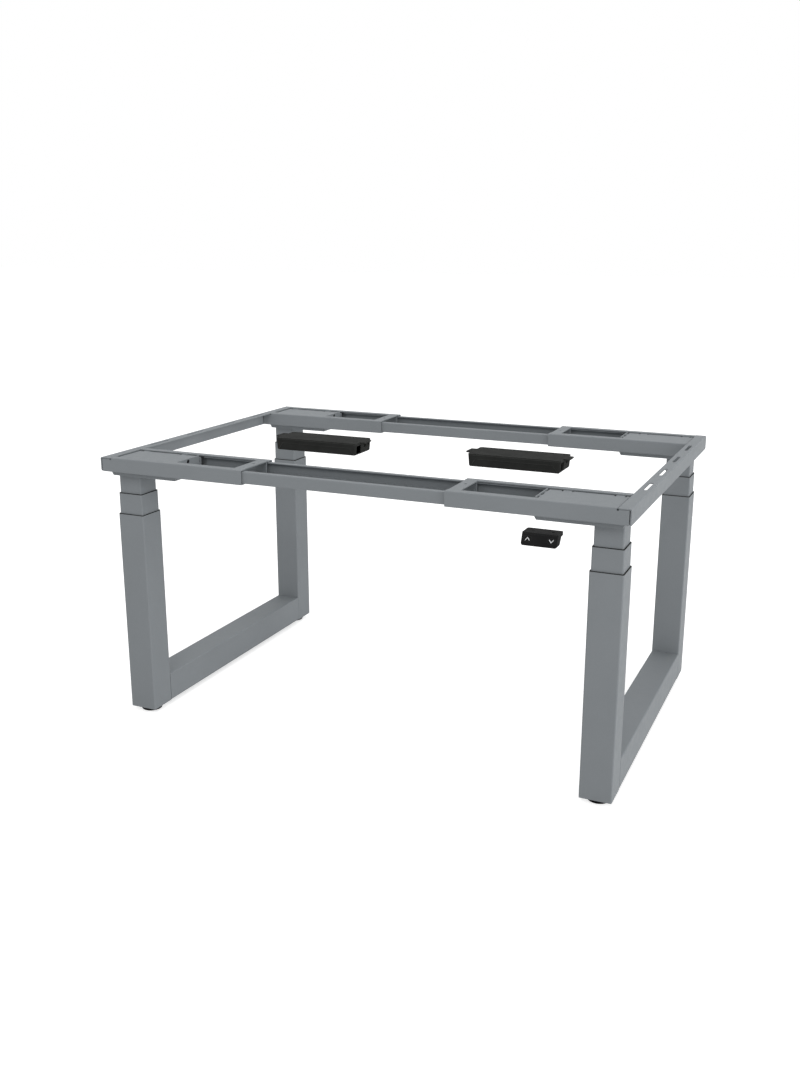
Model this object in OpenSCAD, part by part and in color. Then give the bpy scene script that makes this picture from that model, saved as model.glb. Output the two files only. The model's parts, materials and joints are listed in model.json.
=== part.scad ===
// Four-column standing desk frame, lowered to its shortest height, with its rails
// almost closed. Two U-shaped side frames stand on levelling feet, and each leg is a
// telescopic column of three square stages with its own motor in the rail above it.
// X runs along the two long rails, Y from the user's side to the back and Z up.
// The origin is on the floor, under the middle of the whole object's plan box,
// which the handset in front of the frame lengthens.

/* [Frame] */
// Width over the two side supports, with the rails almost closed
frame_w = 1240; // [1200:10:1500]
// Depth over the front and rear rails
frame_d = 860; // [760:10:1000]
// Height from the floor to the top of the rails with the columns down
frame_h = 647; // [630:1:700]

/* [Columns] */
// Width of the square outer tube
tube_w = 70; // [66:1:76]
// How much narrower each stage is than the one around it
stage_step = 5; // [4.5:0.5:7]
// Wall of the column tubes
tube_wall = 1.5; // [1.2:0.1:1.8]
// Outside corner radius of the column tubes and foot beams
tube_corner_r = 3; // [2.5:0.5:5]
// Height of the middle tube that shows when the column is down
middle_show = 50; // [30:1:60]
// Height of the inner tube that shows when the column is down
inner_show = 46; // [30:1:60]
// From a side support's outer face to the outer tube
column_inset = 15; // [8:1:16]
// Height of the plastic rim on top of a stage
guide_rim_h = 1.5; // [1:0.5:3]
// Depth of the plastic sleeve inside a stage
guide_sleeve_h = 60; // [30:5:90]

/* [Lifting gear] */
// Diameter of the threaded rod that stands in each leg
base_rod_d = 12; // [10:1:12]
// From the top of the outer tube down to the end of that rod
rod_end_drop = 75; // [60:5:120]
// Outside diameter of the hollow drive spindle
spindle_d = 20; // [19:1:22]
// Outside diameter of the nut tube in the middle stage
nut_tube_d = 28; // [26:1:32]
// From the top of the outer tube down to the top of the nut tube
nut_top_drop = 85; // [60:5:120]
// Outside diameter of the gearbox
gearbox_d = 44; // [42:1:46]
// Diameter of the motor
motor_d = 33; // [28:1:34]
// Length of the motor
motor_len = 92; // [70:1:98]

/* [Foot beams] */
// Height of the beam between the front and rear legs
beam_h = 70; // [50:1:90]
// Wall of the beam
beam_wall = 2; // [1.5:0.5:3]

/* [Levelling feet] */
// Diameter of a foot's disc
foot_disc_d = 50; // [40:1:60]
// Height of a foot's disc
foot_disc_h = 10; // [6:1:10]
// Height of a leg above the floor with its foot screwed in
foot_h = 12; // [12:1:16]
// Diameter of a foot's threaded stud
foot_stud_d = 10; // [8:1:12]
// Length of the stud above the disc
foot_stud_len = 26; // [20:1:28]

/* [Rails] */
// Depth of a rail from front to back
rail_d = 136; // [120:1:150]
// Height of a rail
rail_h = 33.5; // [30:0.5:40]
// Thickness of the rails' and side supports' sheet steel
sheet_t = 2.5; // [2:0.5:3]
// Width of the lips along a rail's open top
rail_lip = 20; // [16:1:24]
// From a frame end to the inner end of a rail's end section
rail_end_len = 380; // [340:5:440]
// Outside radius of the sheet steel bends
bend_r = 3; // [3:0.5:5]
// How far a middle rail's face is set back from the end section's face
middle_inset = 5.5; // [4:0.5:8]
// How far a middle rail's top is below the end section's top
middle_drop = 3.7; // [3.5:0.1:5]
// Width of a middle rail's lips
middle_lip = 13; // [8:1:16]
// From a middle rail's end to the column tray, with the rails as wide as here
middle_end_gap = 7.5; // [2:0.5:60]
// Width of the strap that bridges an end section
strap_w = 26; // [20:1:35]
// Diameter of the desktop screw hole in a strap
strap_hole_d = 7; // [5:0.5:9]
// How far that hole lies from the strap's middle, towards the frame's middle
strap_hole_shift = 11; // [0:1:20]

/* [Side supports] */
// Width of a side support's top flange
flange_w = 26; // [22:1:32]
// Radius of the web's lower corners
web_corner_r = 6; // [2:1:12]
// Number of desktop slots in a flange
slot_count = 4; // [2:1:5]
// Distance from slot to slot
slot_pitch = 154; // [120:1:160]
// Width of a slot
slot_w = 8; // [5:0.5:10]
// Length of a slot from end to end
slot_len = 72; // [30:1:90]
// How far the row of slots lies behind the middle of the side support
slot_shift = 10; // [0:1:20]

/* [Column brackets] */
// Length of the tray that carries a column and its motor
tray_len = 185; // [180:1:190]
// Depth of the tray
tray_d = 100; // [90:1:104]
// How far the tray hangs below the rail
tray_drop = 11; // [8:1:14]
// Run of the tray's sloping ends
tray_slope = 6.5; // [4:0.5:6.5]
// From a side support's outer face to the tray
tray_inset = 13.5; // [13:0.5:14]
// Depth of the plate on top of the tray
plate_d = 90; // [80:1:92]
// Gap between that plate and what lies around it
plate_gap = 3; // [2:0.5:4]
// Width of the plate's ears
ear_w = 18; // [12:1:24]

/* [Control boxes] */
// Length of a control box
box_len = 226; // [200:1:240]
// Depth of a control box
box_d = 91; // [80:1:100]
// Height of a control box
box_h = 31; // [31:1:40]
// Thickness of a control box's cover
cover_t = 3; // [2:0.5:4]
// Wall of a control box
box_wall = 2.2; // [1.8:0.1:3]
// Length of a control box's mounting ears
box_ear_len = 14.5; // [13:0.5:20]
// Width of a control box's mounting ears
box_ear_w = 40; // [25:1:60]
// Diameter of the screw holes in the ears
box_hole_d = 4.5; // [3.5:0.5:5.5]
// Middle of the left box from the frame's middle, to the left
left_box_x = 266; // [200:1:290]
// Middle of the right box from the frame's middle, to the right
right_box_x = 256; // [200:1:290]
// Middle of both boxes behind the frame's middle
box_y = 5; // [-40:1:40]

/* [Handset] */
// Middle of the handset to the right of the frame's middle
handset_x = 513.5; // [300:0.5:560]
// How far the handset's top edge lies in front of the frame
handset_reach = 237; // [150:1:300]
// Width of the handset
handset_w = 65; // [64:1:80]
// Depth of the handset's flat top
handset_d = 33; // [30:1:40]
// Height of the handset
handset_h = 22; // [20:1:28]
// How far the lower edge of the sloping face stands forward
handset_lean = 8; // [6:1:12]
// Width of a button
button_w = 14; // [12:1:15]
// Height of a button
button_h = 10; // [8:1:11]

/* [Hidden] */
$fn = 48;
// How far a cut runs past the face it opens
cut = 1;

// Running and seating clearances
guide_run = 0.1;
thread_run = 0.08;
spindle_run = 0.4;
rail_rest = 0.3;
seam = 0.8;
lip_seam = 1;
web_seam = 2;

// Heights, from the floor up
rail_z = frame_h - rail_h;
tray_z = rail_z - tray_drop;
middle_top_z = tray_z - inner_show - guide_rim_h;
outer_top_z = middle_top_z - middle_show;

// Places in plan
rail_y = (frame_d - rail_d) / 2;
column_x = frame_w / 2 - column_inset - tube_w / 2;
column_y = rail_y;
rail_in_x = frame_w / 2 - rail_end_len;
rail_out_x = frame_w / 2 - sheet_t - web_seam;
flange_in_x = frame_w / 2 - flange_w;
tray_out_x = frame_w / 2 - tray_inset;
tray_in_x = tray_out_x - tray_len;

// Stage sizes
middle_w = tube_w - stage_step;
inner_w = middle_w - stage_step;
// The least radius inside a bend or a tube's corner
inner_r_min = 0.2;

// Leg base: a plate that closes the leg, with a boss for the foot's stud
base_plate_t = 8;
base_boss_d = 28;
base_boss_h = 20;
stud_end_gap = 1;
carrier_gap = 4;
carrier_t = 6;
stage_gap = 4;
base_rod_z = foot_h + base_plate_t + base_boss_h;
middle_z = base_rod_z + carrier_gap;
nut_tube_z = middle_z + carrier_t;
inner_z = nut_tube_z + stage_gap;
nut_tube_len = outer_top_z - nut_top_drop - nut_tube_z;

// Gearbox and spindle
gearbox_gap = 3;
gearbox_wall = 5;
gearbox_neck_w = 30;
gearbox_neck_len = 34;
wheel_d = 32;
wheel_t = 12;
wheel_gap = 1;
journal_d = 12;
journal_skin = 2;
spindle_wall = 3.5;
spindle_gap = 6;
gearbox_z = tray_z + sheet_t;
gearbox_top_z = frame_h - 2 * sheet_t - gearbox_gap;
motor_z = (gearbox_z + gearbox_top_z) / 2;
wheel_z = gearbox_z + gearbox_wall + wheel_gap;
spindle_z = inner_z + spindle_gap;

// Column head: a plate in the top of the inner tube, and its screws
head_plate_t = 4;
head_hole_d = 28;
head_screw_d = 5;
head_screw_reach = 20;
screw_head_share = 1.7;
screw_head_h = 2.8;
head_thread_len = 6;

// Other screws
clamp_screw_d = 6;
clamp_screw_inset = 20;
clamp_tip_gap = 0.1;
side_screw_d = 6;
side_screw_spread = 70;
side_screw_z = rail_z + rail_h / 2;
side_screw_skin = 0.8;

// The round notch at the foot of the seam between a rail end and the flange over it
relief_d = 4.4;
relief_depth = 4;

// Middle rails
middle_rail_z = rail_z + sheet_t + rail_rest;
middle_rail_h = frame_h - middle_drop - middle_rail_z;
middle_rail_d = rail_d - 2 * middle_inset;
middle_rail_len = 2 * (tray_in_x - middle_end_gap);

// Straps, and the legs bent down from their ends
strap_inset = 2;
strap_x = rail_in_x + strap_inset;
strap_leg_gap = 1.5;
strap_leg_z = middle_rail_z + sheet_t + rail_rest;
strap_leg_y = min(rail_d / 2 - rail_lip, middle_rail_d / 2 - middle_lip - strap_leg_gap);

// Tray and its plate
tray_gap = 0.5;
tray_end_w = 82;
tray_slit_w = 1.5;
tray_slit_h = 12;
cable_hole_d = 11;
cable_hole_drop = 7.5;
cable_hole_shift = 2.5;
plate_z = frame_h - 2 * sheet_t;
plate_in_x = tray_in_x + sheet_t + plate_gap;
plate_out_x = flange_in_x - plate_gap;
ear_lap = 8;
ear_in_inset = 28.5;
ear_out_inset = 9.5;
ear_slit_w = 3;
ear_slit_len = 8;
finger_w = 12;
finger_spread = 34;

// Control box
box_corner_r = 6;
box_draft = 2;
box_chamfer = 2.5;
box_groove_t = 1.2;
box_groove_top_share = 0.4;
box_groove_slant = 14;
box_groove_inset = 5;
ear_corner_r = 4;
ear_hole_inset = 7;

// Board, stand-offs and sockets in a control box, from its top down
board_t = 1.6;
board_margin = 8;
standoff_d = 7;
standoff_h = 3.5;
standoff_inset_x = 32;
standoff_inset_y = 14;
board_z = -box_h + box_wall + standoff_h;
board_top_z = board_z + board_t;

// Each port's width, height and depth of its upper edge below the box's top
mains_port = [26, 20, 8];
small_port = [13, 10, 7];
ports = [mains_port, small_port, small_port];
port_middle_shares = [-0.26, 0.13, 0.36];
socket_len = 16;
socket_fit = 0.3;
socket_setback = 3;
socket_wall = 1;
socket_back = 3;
socket_nose = socket_len - (box_wall + box_draft + socket_fit - socket_setback);
board_notch_gap = 1;
coil_size = [34, 28, 16];
coil_x_share = -0.3;
capacitor_d = 15;
capacitor_h = 17;
capacitor_shares = [[-0.06, -0.16], [-0.06, 0.16], [0.06, -0.16]];

// Handset: a rim under the flat top, and a deeper body behind the sloping face
handset_plate_t = 2.5;
handset_back_r = 4;
handset_wall = 2;
handset_rim_h = 4;
handset_body_d = 19.5;
handset_under_d = 8;
handset_under_r = 4;
handset_hole_d = 5;
handset_hole_spread = 36;
handset_hole_inset = 17.5;
handset_tube_d = 11;
handset_pocket_d = 8;
handset_seat_t = 2;
handset_front_y = -frame_d / 2 - handset_reach;
handset_face_z = frame_h - handset_plate_t;
handset_face_h = handset_h - handset_plate_t;
handset_tilt = atan(handset_lean / handset_face_h);

// Buttons, and the small board behind them, measured in from the handset's face
button_proud = 0.5;
button_gap = 0.3;
button_r = 3;
button_flange = 1.2;
button_flange_t = 1;
button_rest = 0.1;
button_travel = 0.8;
button_spread = 42.5;
button_rise = 1.3;
switch_d = 4;
switch_h = 1.4;
switch_gap = 0.1;
switch_in = handset_wall + button_rest + button_flange_t + button_travel + switch_gap;
key_board_w = 50;
key_board_h = 7;
key_board_t = 1.2;
key_board_in = switch_in + switch_h;
key_post_d = 3;
key_post_spread = 12;

// The plan box runs from the handset's lower edge to the rear rail
shift_y = -((handset_front_y - handset_lean) + frame_d / 2) / 2;

powder_grey = [0.50, 0.52, 0.53];
plastic_black = [0.13, 0.13, 0.13];
rubber_black = [0.07, 0.07, 0.07];
zinc = [0.72, 0.73, 0.75];
board_green = [0.10, 0.35, 0.22];

// Every piece is drawn about the frame's middle and moved to the origin here
module placed() {
    translate([0, shift_y, 0]) children();
}

// Left is the side at negative X. The pieces are drawn for the right side.
module on_side(side) {
    if (side == "left") mirror([1, 0, 0]) children();
    else children();
}

// Front is the user's side at negative Y. The pieces are drawn for the rear.
module on_end(end) {
    if (end == "front") mirror([0, 1, 0]) children();
    else children();
}

module at_corner(side, end) {
    placed() on_side(side) on_end(end) children();
}

module on_both_ends(side) {
    at_corner(side, "front") children();
    at_corner(side, "rear") children();
}

module at_column() {
    translate([column_x, column_y, 0]) children();
}

// A rectangle with round corners, centred
module round_rect(w, h, r) {
    square([w, h - 2 * r], center = true);
    square([w - 2 * r, h], center = true);
    for (sx = [-1, 1], sy = [-1, 1])
        translate([sx * (w / 2 - r), sy * (h / 2 - r)]) circle(r);
}

module tube_section(w, h, wall, r) {
    difference() {
        round_rect(w, h, r);
        round_rect(w - 2 * wall, h - 2 * wall, max(r - wall, inner_r_min));
    }
}

// A channel open at the top with lips turned in, standing on the line y = 0
module channel_section(d, h, t, lip, r) {
    difference() {
        translate([0, h / 2]) round_rect(d, h, r);
        translate([0, h / 2]) round_rect(d - 2 * t, h - 2 * t, max(r - t, inner_r_min));
        translate([-(d / 2 - lip), h / 2]) square([d - 2 * lip, h]);
    }
}

// Corner b of an anticlockwise outline, moved in so that both its edges move in by t
function inset_corner(a, b, c, t) =
    let (
        u = (b - a) / norm(b - a),
        v = (c - b) / norm(c - b),
        turn = u.x * v.y - u.y * v.x
    )
    b + t * [-u.y, u.x] - t * (1 - u * v) / turn * u;

function inset(points, t) = [
    for (i = [0 : len(points) - 1])
        inset_corner(
            points[(i + len(points) - 1) % len(points)],
            points[i],
            points[(i + 1) % len(points)],
            t
        )
];

// Draws a section in the YZ plane and runs it along X
module along_x(x, len) {
    translate([x, 0, 0]) rotate([90, 0, 90]) linear_extrude(len) children();
}

// Draws a section in the XZ plane and runs it along Y, centred
module along_y(len) {
    rotate([90, 0, 0]) linear_extrude(len, center = true) children();
}

// A slot with round ends, cut down through a sheet, long in Y
module slot_cut(w, len, t) {
    for (s = [-1, 1])
        translate([0, s * (len - w) / 2, 0]) cylinder(d = w, h = t, center = true);
    cube([w, len - w, t], center = true);
}

// Column tubes
module outer_tube(side, end) {
    color(powder_grey) at_corner(side, end) at_column()
        translate([0, 0, foot_h]) linear_extrude(outer_top_z - foot_h)
            tube_section(tube_w, tube_w, tube_wall, tube_corner_r);
}

module middle_tube(side, end) {
    color(powder_grey) at_corner(side, end) at_column()
        translate([0, 0, middle_z]) linear_extrude(middle_top_z - middle_z)
            tube_section(middle_w, middle_w, tube_wall, tube_corner_r);
}

module inner_tube(side, end) {
    head_w = inner_w - 2 * tube_wall;
    color(powder_grey) at_corner(side, end) at_column() difference() {
        union() {
            translate([0, 0, inner_z]) linear_extrude(tray_z - inner_z)
                tube_section(inner_w, inner_w, tube_wall, tube_corner_r);
            translate([-head_w / 2, -head_w / 2, tray_z - head_plate_t])
                cube([head_w, head_w, head_plate_t]);
        }
        translate([0, 0, tray_z - head_plate_t - cut])
            cylinder(d = head_hole_d, h = head_plate_t + 2 * cut);
        head_screws_at() translate([0, 0, tray_z - head_plate_t - cut])
            cylinder(d = head_screw_d, h = head_plate_t + 2 * cut);
    }
}

module head_screws_at() {
    for (sx = [-1, 1], sy = [-1, 1])
        translate([sx * head_screw_reach, sy * head_screw_reach, 0]) children();
}

// A plastic sleeve inside the top of a stage, with a rim over its wall
module guide(w, top_z) {
    bore_w = w - stage_step + 2 * guide_run;
    bore_r = tube_corner_r + guide_run;
    sleeve_w = w - 2 * tube_wall;
    translate([0, 0, top_z - guide_sleeve_h]) linear_extrude(guide_sleeve_h)
        difference() {
            round_rect(sleeve_w, sleeve_w, tube_corner_r - tube_wall);
            round_rect(bore_w, bore_w, bore_r);
        }
    translate([0, 0, top_z]) linear_extrude(guide_rim_h) difference() {
        round_rect(w, w, tube_corner_r);
        round_rect(bore_w, bore_w, bore_r);
    }
}

module outer_guides(side) {
    color(plastic_black) on_both_ends(side) at_column()
        guide(tube_w, outer_top_z);
}

module middle_guides(side) {
    color(plastic_black) on_both_ends(side) at_column()
        guide(middle_w, middle_top_z);
}

// Lifting gear inside a column
module leg_bases(side) {
    plate_w = tube_w - 2 * tube_wall;
    stud_hole_len = foot_stud_len + foot_disc_h - foot_h + stud_end_gap;
    color(zinc) on_both_ends(side) at_column() difference() {
        union() {
            translate([0, 0, foot_h]) linear_extrude(base_plate_t)
                round_rect(plate_w, plate_w, tube_corner_r - tube_wall);
            translate([0, 0, foot_h + base_plate_t])
                cylinder(d = base_boss_d, h = base_boss_h);
            translate([0, 0, base_rod_z])
                cylinder(d = base_rod_d, h = outer_top_z - rod_end_drop - base_rod_z);
        }
        translate([0, 0, foot_h - cut])
            cylinder(d = foot_stud_d + 2 * thread_run, h = stud_hole_len + cut);
    }
}

module nut_carriers(side) {
    plate_w = middle_w - 2 * tube_wall;
    color(zinc) on_both_ends(side) at_column() difference() {
        union() {
            translate([0, 0, middle_z]) linear_extrude(carrier_t)
                round_rect(plate_w, plate_w, tube_corner_r - tube_wall);
            translate([0, 0, nut_tube_z]) cylinder(d = nut_tube_d, h = nut_tube_len);
        }
        translate([0, 0, middle_z - cut])
            cylinder(d = base_rod_d + 2 * spindle_run, h = carrier_t + 2 * cut);
        translate([0, 0, nut_tube_z])
            cylinder(d = spindle_d + 2 * spindle_run, h = nut_tube_len + cut);
    }
}

module spindle(side, end) {
    color(zinc) at_corner(side, end) at_column() difference() {
        union() {
            translate([0, 0, spindle_z]) cylinder(d = spindle_d, h = wheel_z - spindle_z);
            translate([0, 0, wheel_z]) cylinder(d = wheel_d, h = wheel_t);
            translate([0, 0, wheel_z + wheel_t])
                cylinder(d = journal_d, h = gearbox_top_z - journal_skin - wheel_z - wheel_t);
        }
        translate([0, 0, spindle_z - cut])
            cylinder(d = spindle_d - 2 * spindle_wall, h = wheel_z - spindle_z + cut);
    }
}

module gear_motors(side) {
    cavity_d = gearbox_d - 2 * gearbox_wall;
    cavity_z = gearbox_z + gearbox_wall;
    cavity_h = wheel_t + 2 * wheel_gap;
    neck_x = -gearbox_neck_len;
    on_both_ends(side) at_column() {
        color(zinc) difference() {
            union() {
                translate([0, 0, gearbox_z]) cylinder(d = gearbox_d, h = gearbox_top_z - gearbox_z);
                translate([neck_x, -gearbox_neck_w / 2, gearbox_z])
                    cube([gearbox_neck_len, gearbox_neck_w, gearbox_top_z - gearbox_z]);
            }
            translate([0, 0, cavity_z]) cylinder(d = cavity_d, h = cavity_h);
            translate([0, 0, gearbox_z - cut])
                cylinder(d = spindle_d + 2 * thread_run, h = gearbox_wall + 2 * cut);
            translate([0, 0, cavity_z + cavity_h - cut])
                cylinder(d = journal_d + 2 * thread_run,
                    h = gearbox_top_z - journal_skin + thread_run - cavity_z - cavity_h + cut);
        }
        color(plastic_black) translate([neck_x - motor_len, 0, motor_z])
            rotate([0, 90, 0]) cylinder(d = motor_d, h = motor_len);
    }
}

// Floor pieces
module foot_beam(side) {
    beam_len = 2 * column_y - tube_w;
    color(powder_grey) placed() on_side(side) translate([column_x, 0, foot_h + beam_h / 2])
        along_y(beam_len) tube_section(tube_w, beam_h, beam_wall, tube_corner_r);
}

module foot(side, end) {
    hex_d = 18;
    hex_gap = 0.4;
    edge = 1.5;
    color(rubber_black) at_corner(side, end) at_column() {
        rotate_extrude() polygon([
            [0, 0], [foot_disc_d / 2 - edge, 0], [foot_disc_d / 2, edge],
            [foot_disc_d / 2, foot_disc_h - 2 * edge],
            [foot_disc_d / 2 - 2 * edge, foot_disc_h], [0, foot_disc_h]
        ]);
        translate([0, 0, foot_disc_h])
            cylinder(d = hex_d, h = foot_h - foot_disc_h - hex_gap, $fn = 6);
        translate([0, 0, foot_disc_h]) cylinder(d = foot_stud_d, h = foot_stud_len);
    }
}

// Rails
module rail_end(side, end) {
    len = rail_out_x - rail_in_x;
    lowered_z = rail_h - sheet_t - seam;
    end_w = rail_d - 2 * sheet_t;
    color(powder_grey) at_corner(side, end) translate([0, rail_y, rail_z]) difference() {
        union() {
            along_x(rail_in_x, len) channel_section(rail_d, rail_h, sheet_t, rail_lip, bend_r);
            translate([rail_out_x - sheet_t, -end_w / 2, sheet_t])
                cube([sheet_t, end_w, lowered_z - sheet_t]);
        }
        // The lips and the walls' top edges give way to the side support's flange
        translate([flange_in_x - lip_seam, -rail_d / 2 - cut, lowered_z])
            cube([flange_w, rail_d + 2 * cut, rail_h]);
        for (s = [-1, 1])
            translate([flange_in_x - lip_seam, s * rail_d / 2, lowered_z])
                along_y(2 * relief_depth) circle(d = relief_d);
        translate([tray_in_x - tray_gap, -tray_d / 2 - tray_gap, -cut])
            cube([tray_len + 2 * tray_gap, tray_d + 2 * tray_gap, sheet_t + 2 * cut]);
        translate([rail_in_x + clamp_screw_inset, 0, -cut])
            cylinder(d = clamp_screw_d, h = sheet_t + 2 * cut);
        for (s = [-1, 1])
            translate([rail_out_x - sheet_t - cut, s * side_screw_spread / 2, side_screw_z - rail_z])
                rotate([0, 90, 0]) cylinder(d = side_screw_d, h = sheet_t + 2 * cut);
    }
}

module rail_straps(side) {
    reach = rail_d / 2 - rail_lip;
    color(powder_grey) on_both_ends(side) translate([strap_x, rail_y, 0]) difference() {
        union() {
            translate([0, -reach, frame_h - sheet_t]) cube([strap_w, 2 * reach, sheet_t]);
            for (y = [-strap_leg_y, strap_leg_y - sheet_t])
                translate([0, y, strap_leg_z]) cube([strap_w, sheet_t, frame_h - strap_leg_z]);
        }
        translate([strap_w / 2, -strap_hole_shift, frame_h - sheet_t - cut])
            cylinder(d = strap_hole_d, h = sheet_t + 2 * cut);
    }
}

module middle_rail(end) {
    color(powder_grey) placed() on_end(end) translate([0, rail_y, middle_rail_z])
        along_x(-middle_rail_len / 2, middle_rail_len)
            channel_section(middle_rail_d, middle_rail_h, sheet_t, middle_lip, bend_r);
}

// Side supports: a web on the outside and a flange turned in over the rails
module side_support(side) {
    web_top = rail_h - bend_r;
    color(powder_grey) placed() on_side(side) difference() {
        translate([0, 0, rail_z]) intersection() {
            along_y(frame_d) difference() {
                union() {
                    translate([flange_in_x, 0]) square([flange_w, web_top]);
                    translate([flange_in_x, 0]) square([flange_w - bend_r, rail_h]);
                    translate([frame_w / 2 - bend_r, web_top]) circle(bend_r);
                }
                translate([flange_in_x - cut, -cut])
                    square([flange_w - sheet_t + cut, rail_h - sheet_t + cut]);
            }
            along_x(flange_in_x - cut, flange_w + 2 * cut) web_outline();
        }
        for (i = [0 : slot_count - 1])
            translate([
                flange_in_x + flange_w / 2,
                slot_shift + (i - (slot_count - 1) / 2) * slot_pitch,
                frame_h - sheet_t / 2
            ])
                slot_cut(slot_w, slot_len, sheet_t + 2 * cut);
        for (s = [-1, 1], t = [-1, 1])
            translate([
                frame_w / 2 - sheet_t - cut,
                s * rail_y + t * side_screw_spread / 2,
                side_screw_z
            ])
                rotate([0, 90, 0])
                    cylinder(d = side_screw_d, h = sheet_t - side_screw_skin + cut);
    }
}

// The web seen from the side, with its two lower corners round
module web_outline() {
    translate([0, rail_h / 2]) round_rect(frame_d, rail_h, web_corner_r);
    translate([-frame_d / 2, rail_h / 2]) square([frame_d, rail_h / 2]);
}

// Column trays and the plates over them
// The tray's outline seen from the front, with walls that reach up to height h
function tray_outline(h) = [
    [0, h], [0, tray_drop], [tray_slope, 0],
    [tray_len - tray_slope, 0], [tray_len, tray_drop], [tray_len, h]
];

module column_tray(side, end) {
    wall_h = plate_z - tray_z;
    color(powder_grey) at_corner(side, end) difference() {
        union() {
            translate([tray_in_x, rail_y, tray_z]) difference() {
                along_y(tray_d) polygon(tray_outline(wall_h));
                along_y(tray_d - 2 * sheet_t)
                    polygon(inset(tray_outline(wall_h + sheet_t + cut), sheet_t));
            }
            translate([tray_in_x, rail_y - tray_end_w / 2, plate_z - sheet_t])
                cube([sheet_t, tray_end_w, frame_h - plate_z + sheet_t]);
        }
        translate([tray_in_x - cut, rail_y + cable_hole_shift, frame_h - cable_hole_drop])
            rotate([0, 90, 0]) cylinder(d = cable_hole_d, h = sheet_t + 2 * cut);
        for (y = [-tray_end_w / 2 - tray_slit_w, tray_end_w / 2])
            translate([tray_in_x - cut, rail_y + y, plate_z - tray_slit_h])
                cube([sheet_t + 2 * cut, tray_slit_w, tray_slit_h + cut]);
        at_column() {
            translate([0, 0, tray_z - cut]) cylinder(d = head_hole_d, h = sheet_t + 2 * cut);
            head_screws_at() translate([0, 0, tray_z - cut])
                cylinder(d = head_screw_d, h = sheet_t + 2 * cut);
        }
    }
}

module column_plates(side) {
    ear_reach = rail_d / 2 - rail_lip + ear_lap;
    ears_x = [plate_in_x + ear_in_inset, plate_out_x - ear_out_inset - ear_w];
    color(powder_grey) on_both_ends(side) translate([0, rail_y, plate_z]) {
        difference() {
            translate([plate_in_x, -plate_d / 2, 0])
                cube([plate_out_x - plate_in_x, plate_d, sheet_t]);
            for (x = ears_x, s = [-1, 1])
                translate([x - ear_slit_w, s * plate_d / 2 - ear_slit_len, -cut])
                    cube([ear_w + 2 * ear_slit_w, 2 * ear_slit_len, sheet_t + 2 * cut]);
        }
        for (x = ears_x)
            translate([x, -ear_reach, 0]) cube([ear_w, 2 * ear_reach, sheet_t]);
        for (s = [-1, 1])
            translate([tray_in_x + sheet_t, s * finger_spread / 2 - finger_w / 2, 0])
                cube([plate_gap + cut, finger_w, sheet_t]);
    }
}

// Fasteners: column head screws, rail clamp screws and side support screws
module button_screw(d, len) {
    cylinder(d = d, h = len);
    translate([0, 0, -screw_head_h]) cylinder(d = d * screw_head_share, h = screw_head_h);
}

module frame_screws(side) {
    color(zinc) on_both_ends(side) {
        at_column() head_screws_at() translate([0, 0, tray_z + sheet_t])
            mirror([0, 0, 1]) button_screw(head_screw_d, sheet_t + head_thread_len);
        translate([rail_in_x + clamp_screw_inset, rail_y, rail_z])
            button_screw(clamp_screw_d, sheet_t + rail_rest - clamp_tip_gap);
        for (s = [-1, 1])
            translate([rail_out_x - sheet_t, rail_y + s * side_screw_spread / 2, side_screw_z])
                rotate([0, 90, 0])
                    button_screw(side_screw_d, 2 * sheet_t + web_seam - side_screw_skin);
    }
}

// Control boxes, drawn about their own middle with the top at frame_h
module at_box(side) {
    x = side == "left" ? -left_box_x : right_box_x;
    placed() translate([x, box_y, frame_h]) children();
}

// A block with all four sides drawn in towards the bottom: each point of the profile
// is how far the sides stand in from the full size, and at what height
module drafted_block(len, d, r, profile) {
    last = profile[len(profile) - 1];
    for (turn = [0, 1]) {
        half = turn == 0 ? d / 2 : len / 2;
        run = turn == 0 ? len - 2 * r : d - 2 * r;
        rotate([0, 0, 90 * turn]) along_x(-run / 2, run) polygon(concat(
            [for (p = profile) [half - p.x, p.y]],
            [for (i = [len(profile) - 1 : -1 : 0]) [profile[i].x - half, profile[i].y]]
        ));
    }
    for (sx = [-1, 1], sy = [-1, 1])
        translate([sx * (len / 2 - r), sy * (d / 2 - r), 0]) rotate_extrude() polygon(concat(
            [[0, last.y], [0, profile[0].y]],
            [for (p = profile) [r - p.x, p.y]]
        ));
}

// One block for each port of a box, from x towards the box's right end. Where down
// is true, the small ports' blocks reach down to the board.
module port_blocks(x, len, fit, down = false) {
    for (i = [0 : len(ports) - 1]) {
        low = -ports[i][2] - ports[i][1] + fit;
        foot = down ? min(low, board_top_z) : low;
        translate([x, port_middle_shares[i] * box_d - ports[i][0] / 2 + fit, foot])
            cube([len, ports[i][0] - 2 * fit, -ports[i][2] - fit - foot]);
    }
}

// The shallow trapezium sunk into each long side, from its upper edge down
module box_groove() {
    top = box_h * box_groove_top_share;
    half = box_len / 2 - box_groove_inset;
    slope = box_draft / (box_h - cover_t - box_chamfer);
    low_y = box_d / 2 - box_groove_t - slope * (box_h + cut - cover_t);
    intersection() {
        along_y(2 * box_d) polygon([
            [-half + box_groove_slant, -top], [-half, -box_h - cut],
            [half, -box_h - cut], [half - box_groove_slant, -top]
        ]);
        for (s = [-1, 1])
            along_x(-half, 2 * half) polygon([
                [s * (box_d / 2 - box_groove_t), -cover_t], [s * low_y, -box_h - cut],
                [s * box_d, -box_h - cut], [s * box_d, -cover_t]
            ]);
    }
}

module standoffs_at() {
    for (sx = [-1, 1], sy = [-1, 1])
        translate([
            sx * (box_len / 2 - box_wall - standoff_inset_x),
            sy * (box_d / 2 - box_wall - standoff_inset_y),
            0
        ])
            children();
}

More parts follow.
